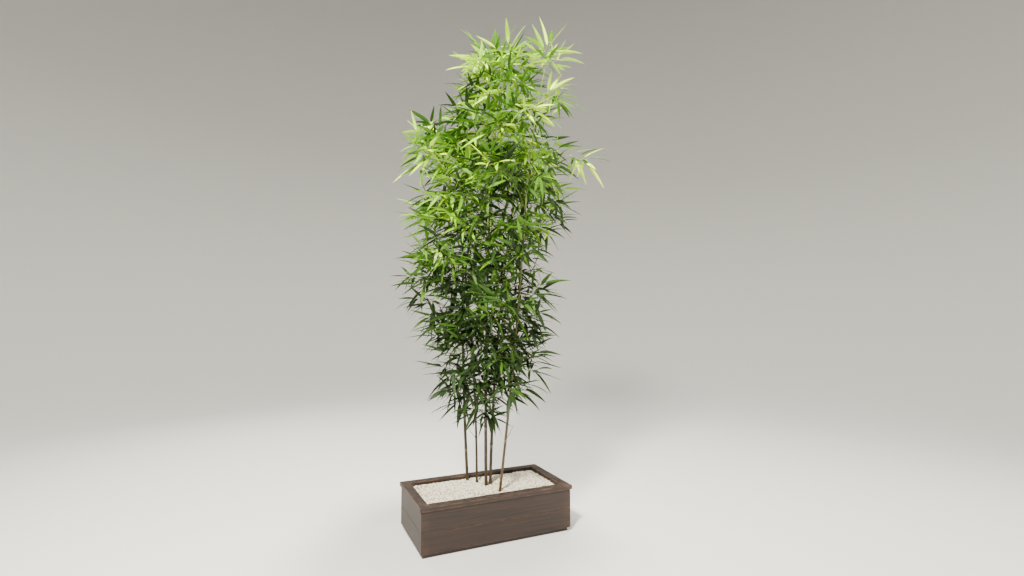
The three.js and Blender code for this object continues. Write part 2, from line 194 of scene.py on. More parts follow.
# Growth lines drawn out along each board, and the open pores between them
grain_group, given, out = new_group("timber grain", {"Coarse": 9.0, "Fine": 70.0}, ["Lines", "Pores"])
along_board = read(grain_group, "grain", "Vector")
for socket, stretch, label in (("Coarse", (0.35, 13, 13), "Lines"), ("Fine", (0.16, 8, 8), "Pores")):
    drawn = add_node("Mapping", {"Vector": along_board, "Scale": stretch}).outputs[0]
    feed(out, {label: noise(grain_group, given[socket], 5.0, drawn, Distortion=0.5)})

# Rubbed edges, broken up so that the wear isn't even
wear_group, given, out = new_group("edge wear", {"Amount": 1.0}, ["Worn"])
rubbed = times(read(wear_group, "edge"), ramp(noise(wear_group, 24.0, 4.0), 0.36, 0.66))
feed(out, {"Worn": times(rubbed, given["Amount"], clamp=True)})

# Soft clouds of lighter and darker, from 0 to 1
mottle_group, given, out = new_group("mottle", {"Size": 0.05, "Contrast": 1.0}, ["Value"])
clouds = noise(mottle_group, calculate("DIVIDE", 1.0, given["Size"]), 4.0, Roughness=0.6)
spread = times(calculate("SUBTRACT", clouds, 0.5), given["Contrast"])
feed(out, {"Value": plus(spread, 0.5, clamp=True)})

# Pale dust that settles on what faces up
dust_group, given, out = new_group("settled dust", {"Amount": 0.3, "Size": 0.03}, ["Dust"])
facing = add_node("SeparateXYZ", {0: add_node("NewGeometry", {}, dust_group).outputs["Normal"]})
patches = ramp(noise(dust_group, calculate("DIVIDE", 1.0, given["Size"]), 6.0), 0.4, 0.75)
lying = times(ramp(facing.outputs["Z"], 0.5, 1.0), patches)
feed(out, {"Dust": times(lying, given["Amount"])})


def mottle(tree, size, contrast):
    """Soft clouds of this size in millimetres."""
    return effect(tree, mottle_group, Size=size * MM, Contrast=contrast)["Value"]


def stained_timber(name, dark, light, bare, wear, dust):
    """Stained softwood: dark and light growth lines, bare wood at rubbed edges, settled dust."""
    material, tree, shader = new_material(name, light, 0.42)
    grain = effect(tree, grain_group)
    lines = times(ramp(grain["Lines"], 0.34, 0.7), ramp(mottle(tree, 300, 1.2), -0.6, 0.7))
    pores = ramp(grain["Pores"], 0.5, 0.34)
    worn = effect(tree, wear_group, Amount=wear)["Worn"]
    lying = effect(tree, dust_group, Amount=dust)["Dust"]
    wood = mix(times(pores, 0.5), mix(lines, dark, light), dark)
    wood = mix(worn, wood, bare)
    rough = plus(times(grain["Pores"], 0.25), 0.46)
    dull = plus(times(worn, 0.2), times(lying, 0.4))
    height = plus(times(grain["Lines"], 0.6), times(pores, -0.5))
    feed(shader, {
        "Base Color": mix(lying, wood, paint(176, 160, 138)),
        "Roughness": plus(rough, dull, clamp=True),
        "Coat Weight": 0.04,
        "Coat Roughness": 0.28,
        "Normal": relief(height, 0.35),
    })
    return material


def eased_profile(out_low, out_high, z_low, z_high, radius):
    """A board's section with rounded edges, as (out, z), and how much of an edge each point is."""
    points, edges = [], []
    left, right, bottom, top = out_low + radius, out_high - radius, z_low + radius, z_high - radius
    for out, z, turn in ((right, bottom, -90), (right, top, 0), (left, top, 90), (left, bottom, 180)):
        angles = np.radians(turn + np.linspace(0, 90, EASED_STEPS + 1))
        arc = np.array([out, z]) + radius * np.c_[np.cos(angles), np.sin(angles)]
        onward = EDGE_SUPPORT * np.c_[-np.sin(angles), np.cos(angles)]
        points += [arc[0] - onward[0], *arc, arc[-1] + onward[-1]]
        edges += [0] + [1] * len(arc) + [0]
    return np.array(points), np.array(edges)


def tube_faces(rings, sides):
    """Quads between rings that run counter-clockwise as seen from the last one, and two ends."""
    ring, side = np.meshgrid(np.arange(rings - 1), np.arange(sides), indexing="ij")
    a, b = (ring * sides + side).ravel(), (ring * sides + (side + 1) % sides).ravel()
    ends = [tuple(range(sides))[::-1], tuple(range((rings - 1) * sides, rings * sides))]
    return np.c_[a, b, b + sides, a + sides].tolist() + ends


def mitred_board(name, section, side, material, seed):
    """A board along one side of the trough, cut at 45 degrees at both ends."""
    profile, edges = section
    turn = math.radians(SIDES[side])
    out = np.array([math.cos(turn), math.sin(turn), 0])
    along = np.cross(UP, out)
    half_across, half_run = (HALF_LENGTH, HALF_WIDTH) if SIDES[side] % 180 == 0 else (HALF_WIDTH, HALF_LENGTH)
    stations = np.linspace(1, -1, max(3, round(2 * half_run / BOARD_STEP)))
    bow = BOARD_BOW * np.random.default_rng(seed).uniform(0.2, 1)
    points, grain, edge = [], [], []
    for station in stations:
        reach = station * (half_run + profile[:, 0] - MITRE_GAP)
        across = half_across + profile[:, 0] - bow * (1 - station**2)
        points.append(np.outer(across, out) + np.outer(reach, along) + np.outer(profile[:, 1], UP))
        grain.append(np.c_[reach, profile] * MM + seed * GRAIN_APART)
        edge.append(np.maximum(edges, MITRE_WEAR * (abs(station) == 1)))
    return add_piece(name, np.concatenate(points), tube_faces(len(stations), len(profile)), material,
                     "timber", grain=np.concatenate(grain), edge=np.concatenate(edge))


wall_stain = stained_timber(
    "wall stain", paint(24, 14, 10), paint(50, 30, 21), paint(94, 64, 44), wear=0.35, dust=0.08)
mid_wall = (PLINTH_HEIGHT + UNDER_CAP) / 2
wall_rows = {"lower": (PLINTH_HEIGHT, mid_wall), "upper": (mid_wall, UNDER_CAP)}
for seed, side in enumerate(SIDES):
    for row, (low, high) in wall_rows.items():
        section = eased_profile(-BOARD, 0, low, high - BOARD_JOINT, EASED_EDGE)
        board = mitred_board(f"wall_{side}_{row}", section, side, wall_stain, seed + WALL_SEEDS[row])
        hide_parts("trough")

# Cap rails
# Four wider rails laid flat on the walls and mitred, so that they hide the boards' top edges. Hands
# and watering cans wear their outer edge first, which shows as a thin pale line.
CAP_WIDTH = 52
CAP_EASED_EDGE = 3
CAP_SEED = 11

cap_stain = stained_timber(
    "cap rail stain", paint(27, 16, 12), paint(54, 34, 25), paint(122, 90, 64), wear=0.42, dust=0.1)
cap_section = eased_profile(CAP_OVERHANG - CAP_WIDTH, CAP_OVERHANG, UNDER_CAP, TROUGH_HEIGHT, CAP_EASED_EDGE)
for seed, side in enumerate(SIDES):
    mitred_board(f"cap_rail_{side}", cap_section, side, cap_stain, seed + CAP_SEED)

# Plinth
# Four low boards set back under the walls, so that the trough stands on a shadow line. Their stain
# is a little darker than the walls'.
PLINTH_INSET = 14
PLINTH_BOARD = 26
PLINTH_SEED = 21

plinth_stain = stained_timber(
    "plinth stain", paint(24, 16, 12), paint(44, 29, 22), paint(90, 66, 48), wear=0.3, dust=0.1)
plinth_section = eased_profile(-PLINTH_INSET - PLINTH_BOARD, -PLINTH_INSET, 0, PLINTH_HEIGHT, EASED_EDGE)
for seed, side in enumerate(SIDES):
    mitred_board(f"plinth_{side}", plinth_section, side, plinth_stain, seed + PLINTH_SEED)

# Base planks
# Planks across the bottom that carry the soil, sawn from the same timber and left rough, with
# narrow gaps that let water drain.
PLANKS = 7
PLANK_GAP = 5
PLANK_LOW = 8

plank_stain = stained_timber(
    "base plank stain", paint(40, 24, 18), paint(72, 46, 34), paint(110, 80, 60), wear=0.2, dust=0.0)
plank_span = 2 * (HALF_LENGTH - PLINTH_INSET - PLINTH_BOARD - MITRE_GAP)
plank_reach = HALF_WIDTH - PLINTH_INSET - PLINTH_BOARD - MITRE_GAP
plank_width = (plank_span - PLANK_GAP * (PLANKS - 1)) / PLANKS
for plank in range(PLANKS):
    low = -plank_span / 2 + plank * (plank_width + PLANK_GAP)
    profile, edges = eased_profile(low, low + plank_width, PLANK_LOW, PLINTH_HEIGHT, EASED_EDGE)
    out, up = profile.T
    rows = [np.c_[out, np.full(len(out), y), up] for y in (plank_reach, -plank_reach)]
    grain = [row[:, [1, 0, 2]] * MM + plank * GRAIN_APART for row in rows]
    add_piece(f"base_plank_{plank + 1}", np.concatenate(rows), tube_faces(2, len(profile)), plank_stain,
              "timber", grain=np.concatenate(grain), edge=np.tile(edges, 2))

# Bed
# Damp soil filled to just under the rim and covered with fine pale grit. It is heaped a little in
# the middle and falls towards the boards.
SOIL_TOP = 250
SOIL_FALL = 14
SOIL_SHOULDER = 60
SOIL_SLOPE = 1.5
SOIL_STEP = 12
SOIL_RIPPLE = 1.2
GAP = 0.4
RIM = CAP_WIDTH - CAP_OVERHANG + GAP


def soil_height(x, y):
    """The bed's height: level in the middle, falling over the shoulder to the rim, and rippled."""
    inside = np.minimum(HALF_LENGTH - RIM - np.abs(x), HALF_WIDTH - RIM - np.abs(y))
    share = np.clip(inside / SOIL_SHOULDER, 0, 1)
    long_ripple = np.sin(x / 37 + 1.3) * np.sin(y / 29 + x / 83)
    short_ripple = 0.5 * np.sin(x / 17) * np.sin(y / 13 + 0.7)
    return SOIL_TOP - SOIL_FALL * (1 - share) ** SOIL_SLOPE - SOIL_RIPPLE * (1 + (long_ripple + short_ripple))


bed_half = np.array([HALF_LENGTH - RIM, HALF_WIDTH - RIM])
grid = np.meshgrid(*(np.linspace(-half, half, int(2 * half / SOIL_STEP) + 1) for half in bed_half))
top = np.c_[grid[0].ravel(), grid[1].ravel(), soil_height(*grid).ravel()]
index = np.arange(len(top)).reshape(grid[0].shape)
faces = np.stack([index[:-1, :-1], index[:-1, 1:], index[1:, 1:], index[1:, :-1]], -1).reshape(-1, 4).tolist()
rim = np.concatenate([index[0, :-1], index[:-1, -1], index[-1, :0:-1], index[:0:-1, 0]])
below = top[rim] * (1, 1, 0) + (0, 0, UNDER_CAP)
under = len(top) + np.arange(len(rim))
faces += np.c_[rim, under, np.roll(under, -1), np.roll(rim, -1)].tolist()
faces.append(under[::-1].tolist())

grit, tree, shader = new_material("fine grit", paint(196, 188, 168), 0.9)
specks = mottle(tree, 4, 3.0)
ground = mix(mottle(tree, 50, 2.0), paint(150, 138, 116), paint(206, 199, 180))
ground = mix(times(specks, 0.5), ground, paint(120, 108, 90))
feed(shader, {"Base Color": ground, "Normal": relief(specks, 2.0)})
bed = add_piece("grit_bed", np.concatenate([top, below]), faces, grit, "gravel")
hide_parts("gravel_bed")

# Culm places
# Five culms stand on one root. Each is a round hollow cane that tapers to its tip, leans and bows,
# and nods over at the top.
CROWN_TURN = math.radians(-24.5)
BROAD = np.array([math.cos(CROWN_TURN), math.sin(CROWN_TURN), 0])
ACROSS = np.cross(UP, BROAD)
CULMS = {
    "back": dict(foot=(-62, 132), height=2230, thick=18, lean=(-25, 190), bow=(-32, 10),
                 nodes=12, first=0, bare=500, faces=120),
    "left": dict(foot=(-24, 74), height=1930, thick=14, lean=(-170, -50), bow=(40, 25),
                 nodes=10, first=0.4, bare=440, faces=180),
    "middle": dict(foot=(4, -6), height=2420, thick=19, lean=(60, -60), bow=(-22, -10),
                 nodes=12, first=0.8, bare=330, faces=190),
    "right": dict(foot=(32, -2), height=2160, thick=18, lean=(210, 130), bow=(-42, -20),
                 nodes=11, first=0.2, bare=400, faces=5),
    "front": dict(foot=(40, -128), height=2300, thick=15, lean=(185, -150), bow=(20, 15),
                 nodes=12, first=0.6, bare=470, faces=-40),
}
TIP_DIAMETER = 5
TAPER_POWER = 1.35
NOD = 70
NOD_START = 0.72
NODE_NECK = 9


def between(first, last, share):
    return first + (last - first) * share


def unit(vector):
    return vector / norm(vector, axis=-1, keepdims=True)


def culm_point(culm, s):
    """The place on a culm's middle line, s from 0 at the soil to 1 at the tip."""
    bulge = 4 * s * (1 - s)
    nod = NOD * max(0, (s - NOD_START) / (1 - NOD_START)) ** 2 / math.hypot(*culm["lean"])
    broad, across = (lean * s + bow * bulge + nod * lean for lean, bow in zip(culm["lean"], culm["bow"]))
    foot = np.array([*culm["foot"], SOIL_TOP + GAP + culm["height"] * s])
    return foot + BROAD * broad + ACROSS * across


def culm_radius(culm, s):
    return (TIP_DIAMETER + (culm["thick"] - TIP_DIAMETER) * (1 - s**TAPER_POWER)) / 2


def node_share(culm, node):
    """The share of a culm's height at which a node stands."""
    return (node + culm["first"]) / (culm["nodes"] + culm["first"])


# Gravel
# Crushed white marble, raked level in one layer over the grit. The chips are broken, so each has a
# few flat faces, and most lie on a flat side.
CHIP_APART = 9.5
CHIP_JITTER = 0.45
CHIP_RADIUS = (4.2, 7.6)
CHIP_CUTS = 7
CHIP_CUT = (0.5, 0.9)
CHIP_STRETCH = (0.8, 1.25)
CHIP_FLAT = (0.5, 0.85)
CHIP_LEAN = 22
CHIP_RIM = 5
CHIP_SUNK = (0.15, 0.6)
CHIP_CLEAR = 0.8
CHIP_SEED = 41
CHIP_TONES = {"white": (paint(247, 241, 224), 0.5), "cream": (paint(238, 222, 188), 0.36),
              "grey": (paint(190, 182, 166), 0.14)}

ball = bmesh.new()
bmesh.ops.create_icosphere(ball, subdivisions=2, radius=1)
ball_points = np.array([vertex.co for vertex in ball.verts])
ball_faces = np.array([[vertex.index for vertex in face.verts] for face in ball.faces])
ball.free()

rng = np.random.default_rng(CHIP_SEED)
gravel_half = bed_half - CHIP_RIM
grid = np.meshgrid(*(np.arange(-half, half, CHIP_APART) for half in gravel_half))
spots = np.stack(grid, -1).reshape(-1, 2)
spots += rng.uniform(-CHIP_JITTER, CHIP_JITTER, spots.shape) * CHIP_APART
spots = np.clip(spots, -gravel_half, gravel_half)
radii = rng.uniform(*CHIP_RADIUS, len(spots))
for culm in CULMS.values():
    clear = norm(spots - culm["foot"], axis=1) > culm["thick"] / 2 + radii * CHIP_CLEAR
    spots, radii = spots[clear], radii[clear]
count = len(spots)
chips = np.repeat(ball_points[None], count, axis=0)
for cut in range(CHIP_CUTS):
    facing = unit(rng.normal(size=(count, 1, 3)))
    past = (chips * facing).sum(-1, keepdims=True) - rng.uniform(*CHIP_CUT, (count, 1, 1))
    chips -= np.maximum(past, 0) * facing
stretch = np.c_[rng.uniform(*CHIP_STRETCH, (count, 2)), rng.uniform(*CHIP_FLAT, count)]
chips *= (stretch * radii[:, None])[:, None, :]
for axis, most in enumerate((CHIP_LEAN, CHIP_LEAN, 180)):
    angle = np.radians(rng.uniform(-most, most, count))[:, None]
    a, b = (axis + 1) % 3, (axis + 2) % 3
    turned = (chips[:, :, a] + 1j * chips[:, :, b]) * np.exp(1j * angle)
    chips[:, :, a], chips[:, :, b] = turned.real, turned.imag
lying = soil_height(spots[:, 0], spots[:, 1]) + radii * rng.uniform(*CHIP_SUNK, count)
chips += np.c_[spots, lying][:, None, :]


def marble(name, base):
    """Matt broken marble in soft clouds, with dust on what faces up."""
    material, tree, shader = new_material(name, base, 0.55)
    clouds = mottle(tree, 12, 1.6)
    stone = mix(clouds, tuple(0.8 * part for part in base[:3]) + (1,), base)
    dust = effect(tree, dust_group, Amount=0.25, Size=0.02)["Dust"]
    feed(shader, {
        "Base Color": mix(dust, stone, paint(226, 216, 196)),
        "Roughness": ramp(clouds, -0.8, 1.6),
        "Normal": relief(mottle(tree, 1.6, 2.0), 0.4),
    })
    return material


tones = rng.choice(len(CHIP_TONES), count, p=[share for _, share in CHIP_TONES.values()])
for tone, (name, (base, _)) in enumerate(CHIP_TONES.items()):
    chosen = chips[tones == tone]
    faces = ball_faces[None] + np.arange(len(chosen))[:, None, None] * len(ball_points)
    add_piece(f"gravel_{name}", chosen.reshape(-1, 3), faces.reshape(-1, 3).tolist(),
              marble(f"{name} marble", base), "gravel", crease=24)

# Culms
# Smooth canes, olive-brown at the foot and greener with height. Every node has the scar of a fallen
# sheath, a raised ridge over it, and a band of pale waxy bloom under it.
CULM_SIDES = 24
FOOT_SWELL = 1.02
# Height over the node, swelling, bloom and scar
NODE_FORM = [(-30, 1.0, 0, 0), (-14, 1.01, 0.7, 0), (-5, 1.03, 1, 0), (-1.4, 1.05, 0.8, 0.3),
             (-0.2, 1.17, 0, 1), (1.2, 1.15, 0, 1), (2.2, 1.05, 0, 0.6), (4.5, 1.07, 0, 0.2),
             (7.2, 1.14, 0, 0), (10, 1.06, 0, 0), (17, 1, 0, 0)]
MIDDLES = 3


def rings(points, radii, sides):
    """Points round a line, with one radius to a point of it."""
    points = np.asarray(points, float)
    along = unit(np.gradient(points, axis=0))
    angles = np.arange(sides) / sides * 2 * math.pi
    normal = np.array([1, 0, 0.01])
    found = []
    for point, heading, radius in zip(points, along, radii):
        normal = unit(normal - heading * (normal @ heading))
        binormal = np.cross(heading, normal)
        found.append(point + radius * (np.outer(np.cos(angles), normal) + np.outer(np.sin(angles), binormal)))
    return np.concatenate(found)


def cane_material(name, foot, middle, head):
    """Cane that goes from its colour at the foot to the one at its head."""
    material, tree, shader = new_material(name, middle, 0.4)
    height, scar = read(tree, "height"), read(tree, "scar")
    clouds = mottle(tree, 30, 2.2)
    bloom = times(read(tree, "bloom"), ramp(clouds, 0.1, 0.8))
    cane = mix(ramp(height, 0.05, 0.4), foot, middle)
    cane = mix(ramp(height, 0.35, 0.95), cane, head)
    cane = mix(times(clouds, 0.45), cane, mix(0.5, cane, paint(34, 25, 13)))
    cane = mix(times(bloom, 0.45), cane, paint(150, 158, 124))
    dull = plus(times(bloom, 0.3), times(scar, 0.3))
    feed(shader, {
        "Base Color": mix(times(scar, 0.8), cane, paint(58, 42, 27)),
        "Roughness": plus(plus(times(clouds, 0.2), 0.34), dull),
        "Normal": relief(mottle(tree, 3, 1.5), 0.08),
    })
    return material


olive_cane = cane_material("olive cane", paint(50, 36, 17), paint(56, 52, 21), paint(84, 112, 36))
yellow_cane = cane_material("yellow cane", paint(66, 50, 20), paint(74, 68, 25), paint(104, 128, 40))
for name, culm in CULMS.items():
    stations = [(0, FOOT_SWELL, 0, 0), (1, 1, 0, 0)]
    marks = [node_share(culm, node) for node in range(1, culm["nodes"])]
    for low, high in zip([0, *marks], [*marks, 1]):
        stations += [(s, 1, 0, 0) for s in np.linspace(low, high, MIDDLES + 2)[1:-1]]
    for mark in marks:
        stations += [(mark + over / culm["height"], *form) for over, *form in NODE_FORM]
    shares, swells, blooms, scars = np.array(sorted(stations)).T
    middle = [culm_point(culm, s) for s in shares]
    radii = [culm_radius(culm, s) * swell for s, swell in zip(shares, swells)]
    height, bloom, scar = (np.repeat(values, CULM_SIDES) for values in (shares, blooms, scars))
    cane = add_piece(f"cane_{name}", rings(middle, radii, CULM_SIDES), tube_faces(len(shares), CULM_SIDES),
                     yellow_cane if name == "front" else olive_cane, "culm", crease=50,
                     height=height, bloom=bloom, scar=scar)
    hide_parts(f"culm_{name}")

# Branches
# One branch to a node, on alternate sides, rising from the cane and arching over towards the
# crown's outline. Each keeps clear of its neighbours, and twigs leave it on alternate sides.

# The outline: height over the soil, and how far the crown reaches to the left and to the right
CROWN = [(350, 130, 110), (560, 310, 230), (820, 370, 480), (1160, 560, 410), (1600, 520, 530),
         (1870, 470, 640), (2060, 530, 420), (2230, 250, 430), (2480, 170, 330), (2700, 90, 210)]
CROWN_DEPTH = 0.95
BRANCH_RISE = 70
BRANCH_RISE_SHARE = 0.32
STEM_KNEE = 0.4
STEM_STEPS = 4
STEM_RADIUS = 3.2
BRANCH_SHARE = 0.62
STEM_CLEARANCE = 16
STEM_LENGTH = (110, 500)
STEM_LEAFY = (0.3, 0.94)
STEM_SHORT = 0.8
BRANCH_ASIDE = 20
BRANCH_ASIDE_SPREAD = 75
BRANCH_TURNS = 36
BRANCH_TURN = 10
BRANCH_SEED = 966
BRANCH_SEED_STEP = 71
TIP_STEM = 120
TIP_FROM = 0.98
TWIGS = 3
TWIG_JITTER = 0.6
TWIG_SHARE = 0.3
TWIG_SHARE_LEAST = 0.8
TWIG_SHARE_SPREAD = 0.5
TWIG_LENGTH = (45, 105)
TWIG_SPREAD = 48
TWIG_SPREAD_JITTER = 24
TWIG_TILT = 120
TWIG_TILT_CENTRE = 0.4
END_INSET = 2
MASS_SEED = 4003
MASS_SEED_STEP = 131
LEAF_LENGTH = 195
LEAF_LENGTH_SPREAD = 0.28
LEAF_WIDTH = 35
LEAF_WIDTH_SPREAD = 0.2
LEAF_WIDEST = 0.27
LEAF_SUNK = 1.2
LEAF_PITCH = 11
LEAF_APART = 24
LEAF_FREE = 40
FAN = 72
FAN_FIRST = 0.35
FAN_NEXT = 0.22
FAN_JITTER = 24
FAN_LEAVES = 4
LEAF_TRIES = 12
LEAF_TILT = (22, -48)
LEAF_ROLL = 80
OWN_SPACE_MARGIN = 2.5
LIMB_MARGIN = 4
LEAF_LIMB_MARGIN = 14


def seeded(seed):
    """Random numbers from 0 to 1, the same on every run."""
    state = seed % 2**32

    def following():
        nonlocal state
        state = (state * 1664525 + 1013904223) % 2**32
        return state / 2**32

    for _ in range(4):
        following()
    return following


def segment_distance(a, b, c, d):
    """Distance between straight pieces of line, each given by its two ends."""
    ab, cd, ac = b - a, d - c, a - c
    abab, abcd, cdcd = (ab * ab).sum(-1), (ab * cd).sum(-1), (cd * cd).sum(-1)
    abac, cdac = (ab * ac).sum(-1), (cd * ac).sum(-1)
    spread = abab * cdcd - abcd * abcd
    crossing = spread > 1e-6
    s = np.where(crossing, np.clip((abcd * cdac - cdcd * abac) / np.where(crossing, spread, 1), 0, 1), 0)
    t = np.clip((abcd * s + cdac) / cdcd, 0, 1)
    s = np.clip((abcd * t - abac) / abab, 0, 1)
    return norm(a + ab * s[..., None] - c - cd * t[..., None], axis=-1)


def crown_reach(height, angle):
    """How far the crown reaches out at this height and angle."""
    heights, lefts, rights = zip(*CROWN)
    left, right = np.interp(height, heights, lefts), np.interp(height, heights, rights)
    broad = np.where(np.cos(angle) < 0, left, right)
    deep = CROWN_DEPTH * (left + right) / 2
    return 1 / np.hypot(np.cos(angle) / broad, np.sin(angle) / deep)


def crown_heading(angle):
    """A level direction, given by its angle in radians from the crown's broad side."""
    return BROAD * math.cos(angle) + ACROSS * math.sin(angle)


def stem_point(stem, t):
    """The place on a stem's curve, t from 0 at its start to 1 at its tip."""
    start, knee, tip = stem
    return (start * (1 - t) + knee * t) * (1 - t) + (knee * (1 - t) + tip * t) * t


def stem_along(stem, t):
    start, knee, tip = stem
    return unit((knee - start) * (1 - t) + (tip - knee) * t)


def stem_line(stem, stations=STEM_STEPS + 1):
    return np.array([stem_point(stem, t) for t in np.linspace(0, 1, stations)])


def line_point(line, t):
    steps = t * (len(line) - 1)
    piece = min(int(steps), len(line) - 2)
    return line[piece] * (1 - (steps - piece)) + line[piece + 1] * (steps - piece)


def branch_stem(culm, s, angle):
    """A branch's stem: up and out from its culm, over an arch, towards the crown's outline."""
    start, out = culm_point(culm, s), crown_heading(angle)
    edge = crown_reach(culm["height"] * s + BRANCH_RISE, angle) - STEM_SHORT * LEAF_LENGTH
    length = np.clip(edge - start @ out, *STEM_LENGTH)
    rise = UP * (BRANCH_RISE + BRANCH_RISE_SHARE * length)
    return start, start + out * STEM_KNEE * length + rise, start + out * length + rise


culm_pieces = []
for own, culm in enumerate(CULMS.values()):
    steps = 2 * culm["nodes"]
    line = [culm_point(culm, step / steps) for step in range(steps + 1)]
    culm_pieces += [(low, high, culm_radius(culm, 0), own) for low, high in zip(line, line[1:])]
culm_from, culm_to, culm_room, culm_owner = (np.array(values) for values in zip(*culm_pieces))
masses = []


def clear_of_limbs(line, own):
    """Whether a new branch clears the other culms and the branches placed before it."""
    others = culm_owner != own
    gaps = segment_distance(line[:-1, None], line[1:, None], culm_from[others], culm_to[others])
    if (gaps <= culm_room[others] + STEM_RADIUS + LIMB_MARGIN).any():
        return False
    return all((segment_distance(line[:-1, None], line[1:, None], mass["line"][:-1], mass["line"][1:])
                > STEM_CLEARANCE).all() for mass in masses)


def add_mass(name, label, stem, line, radius):
    masses.append(dict(node=f"foliage_{name}_{label}", culm=CULMS[name], stem=stem, line=line, radius=radius))


for own, (name, culm) in enumerate(CULMS.items()):
    random = seeded(BRANCH_SEED + BRANCH_SEED_STEP * own)
    for node in range(1, culm["nodes"]):
        s = node_share(culm, node) + NODE_NECK / culm["height"]
        facing = culm["faces"] + (1 if node % 2 else -1) * (BRANCH_ASIDE + BRANCH_ASIDE_SPREAD * random())
        if culm["height"] * s < culm["bare"]:
            continue
        for turn in range(BRANCH_TURNS):
            aside = (1 if turn % 2 else -1) * math.ceil(turn / 2) * BRANCH_TURN
            stem = branch_stem(culm, s, math.radians(facing + aside))
            line = stem_line(stem)
            if clear_of_limbs(line, own):
                add_mass(name, node, stem, line, BRANCH_SHARE * culm_radius(culm, s))
                break
    end = culm_point(culm, 1)
    along = unit(end - culm_point(culm, TIP_FROM))
    start = end + along * GAP
    stem = (start, start + along * TIP_STEM / 2, start + along * TIP_STEM)
    add_mass(name, "tip", stem, stem_line(stem), TIP_DIAMETER / 2)
stem_from = np.array([mass["line"][:-1] for mass in masses])
stem_to = np.array([mass["line"][1:] for mass in masses])
foliage = [mass["node"] for mass in masses]


def stem_gaps(points):
    """How far each point, as a very short piece, is from each straight piece of each stem."""
    points = np.atleast_2d(points)[:, None, None]
    return segment_distance(points, points + UP * 0.01, stem_from, stem_to)


def in_own_space(points, own):
    """Whether each point is nearer to its own mass's stem than to any other's."""
    gaps = stem_gaps(points).min(-1)
    nearest = np.delete(gaps, own, axis=1).min(1)
    return (nearest > gaps[:, own] + OWN_SPACE_MARGIN).all()


def clear_of_culms(start, end, margin):
    return (segment_distance(start, end, culm_from, culm_to) > culm_room + margin).all()


def flat_and_lift(forward):
    """The level direction across forward, and the one square to both that points up."""
    flat = unit(np.cross(forward, UP))
    return flat, unit(np.cross(flat, forward))


def turned_from(forward, flat, lift, yaw, pitch):
    return unit(forward * math.cos(yaw) * math.cos(pitch) + flat * math.sin(yaw) * math.cos(pitch)
                + lift * math.sin(pitch))


def rolled(direction, degrees):
    """A direction across another, level but for this roll."""
    level, roll = unit(np.cross(direction, UP)), math.radians(degrees)
    return level * math.cos(roll) + np.cross(level, direction) * math.sin(roll)


def leaf_fan(own, taken, random, end, forward):
    """A fan's leaves, each the first try that keeps to the mass's own space."""
    flat, lift = flat_and_lift(forward)
    found = []
    for leaf in range(FAN_LEAVES):
        yaw = FAN * (1 if leaf % 2 else -1) * (FAN_FIRST + FAN_NEXT * leaf) if leaf else 0
        knot = end - forward * LEAF_PITCH * leaf
        for _ in range(LEAF_TRIES):
            turn = math.radians(yaw + FAN_JITTER * (random() - 0.5))
            pitch = math.radians(between(*LEAF_TILT, random()))
            direction = turned_from(forward, flat, lift, turn, pitch)
            length = LEAF_LENGTH * (1 + LEAF_LENGTH_SPREAD * (random() - 0.5))
            side = rolled(direction, (random() - 0.5) * LEAF_ROLL)
            root = knot - direction * LEAF_SUNK
            widest, tip = root + direction * LEAF_WIDEST * length, root + direction * length
            width = LEAF_WIDTH * (1 + LEAF_WIDTH_SPREAD * (random() - 0.5))
            samples = [widest, widest + side * width / 2, widest - side * width / 2, (widest + tip) / 2, tip]
            free = root + direction * LEAF_FREE
            if not in_own_space(samples, own) or not clear_of_culms(knot, tip, LEAF_LIMB_MARGIN):
                continue
            starts, ends = np.array(taken).transpose(1, 0, 2)
            if (segment_distance(free, tip, starts, ends) > LEAF_APART).all():
                taken.append((free, tip))
                found.append((knot, direction, side, length, masses[own]["culm"]))
                break
    return found


twigs, axes = [], []
for own, mass in enumerate(masses):
    random = seeded(MASS_SEED + MASS_SEED_STEP * own)
    line = mass["line"]
    length = norm(np.diff(line, axis=0), axis=1).sum()
    taken = list(zip(line[:-1], line[1:]))
    hand = 1 if random() < 0.5 else -1
    for twig in range(TWIGS):
        t = between(*STEM_LEAFY, (twig + TWIG_JITTER * random()) / TWIGS)
        start, along = line_point(line, t), stem_along(mass["stem"], t)
        flat, lift = flat_and_lift(along)
        hand = -hand
        spread = math.radians(TWIG_SPREAD + TWIG_SPREAD_JITTER * (random() - 0.5))
        tilt = math.radians((random() - TWIG_TILT_CENTRE) * TWIG_TILT)
        forward = unit(along * math.cos(spread) + flat * hand * math.sin(spread) * math.cos(tilt)
                       + lift * math.sin(spread) * math.sin(tilt))
        share = TWIG_SHARE * (TWIG_SHARE_LEAST + TWIG_SHARE_SPREAD * random())
        end = start + forward * np.clip(share * length, *TWIG_LENGTH)
        if not in_own_space(end, own) or not clear_of_culms(start, end, LIMB_MARGIN):
            continue
        found = leaf_fan(own, taken, random, end, forward)
        if found:
            taken.append((start, end))
            twigs.append((start, end))
            axes += found
    along = stem_along(mass["stem"], 1)
    axes += leaf_fan(own, taken, random, mass["stem"][2] - along * END_INSET, along)

STEM_SIDES = 7
TWIG_SIDES = 5
STEM_STATIONS = 12
STEM_FINE = 0.72
STEM_END = 1.1
COLLAR = 1.5
JOINT_SWELL = 1.22
JOINT_STATIONS = 3
BARE_KNEE = 0.6
BARE_RADII = (2.0, 1.0)
BARE_STATIONS = 6
# Leafless twigs left on the low nodes: culm, node, side it stands to, and how far it goes out and up
BARE_TWIGS = [("middle", 1, 188, 101, 75), ("middle", 1, 215, 22, 104), ("right", 2, 5, 34, 68),
              ("back", 2, 150, 60, 84), ("left", 1, 200, 48, 62), ("front", 1, -30, 52, 88)]


